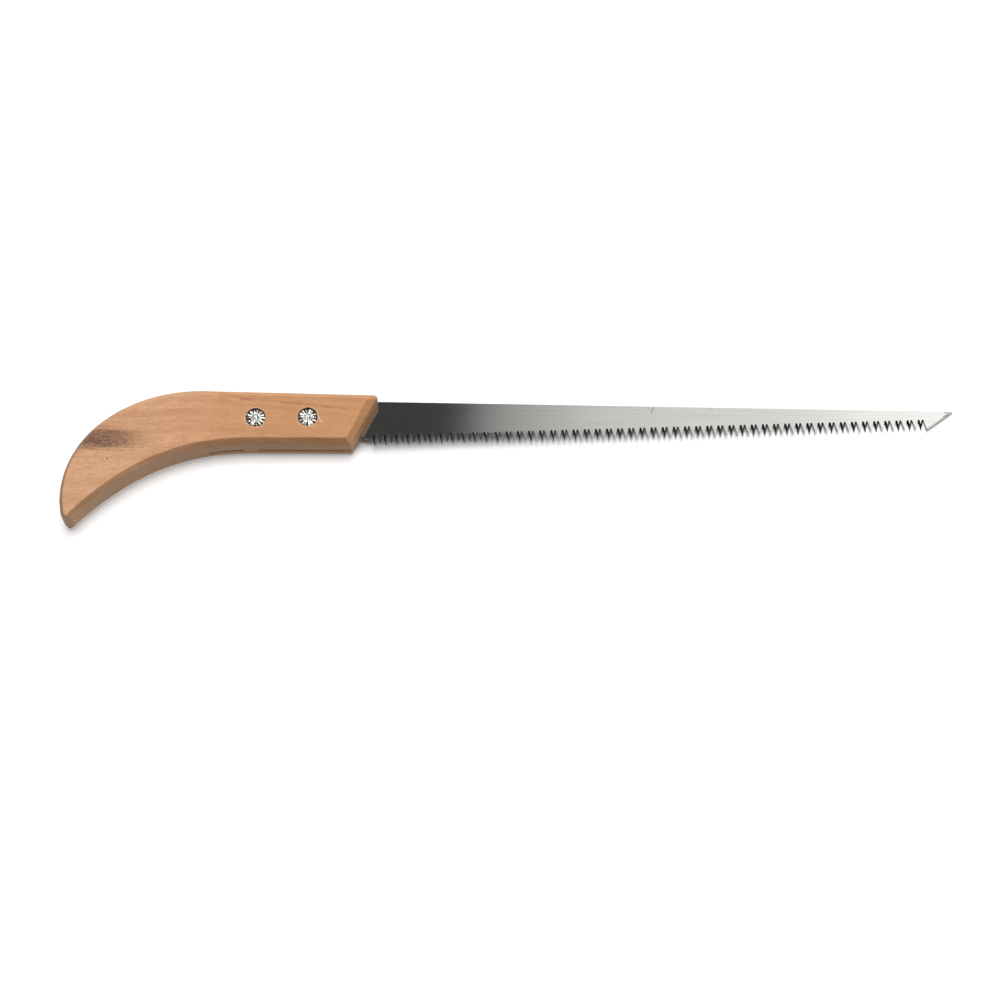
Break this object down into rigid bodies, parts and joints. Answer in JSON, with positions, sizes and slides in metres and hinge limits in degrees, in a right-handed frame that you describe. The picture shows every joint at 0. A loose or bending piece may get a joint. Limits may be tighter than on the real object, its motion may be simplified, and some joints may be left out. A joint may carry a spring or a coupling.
{
  "type": "drywall saw",
  "caption": "Hand saw with a curved, chamfered one-piece wooden handle and a long tapered blade with alternately ground teeth and a slanting point, held by tubular rivets.",
  "frame": {"origin": "on the handle's lower face, midway between the two rivets", "axes": "+X along the blade's straight spine towards the point, +Y from the teeth towards the spine, +Z through the thickness, away from the face the saw lies on"},
  "size_m": [0.4296, 0.0667, 0.018],
  "materials": {
    "wood": "plain sanded hardwood, light and slightly pink, with a dark knot stain near the tail",
    "blade_steel": "bright rolled steel with fine lengthwise scratches",
    "rivet_steel": "bright plated steel, creased where the tubular end is splayed"
  },
  "bodies": {
    "root": {"handle": "wood", "blade": "blade_steel", "rear_rivet": "rivet_steel", "front_rivet": "rivet_steel"}
  },
  "joints": []
}
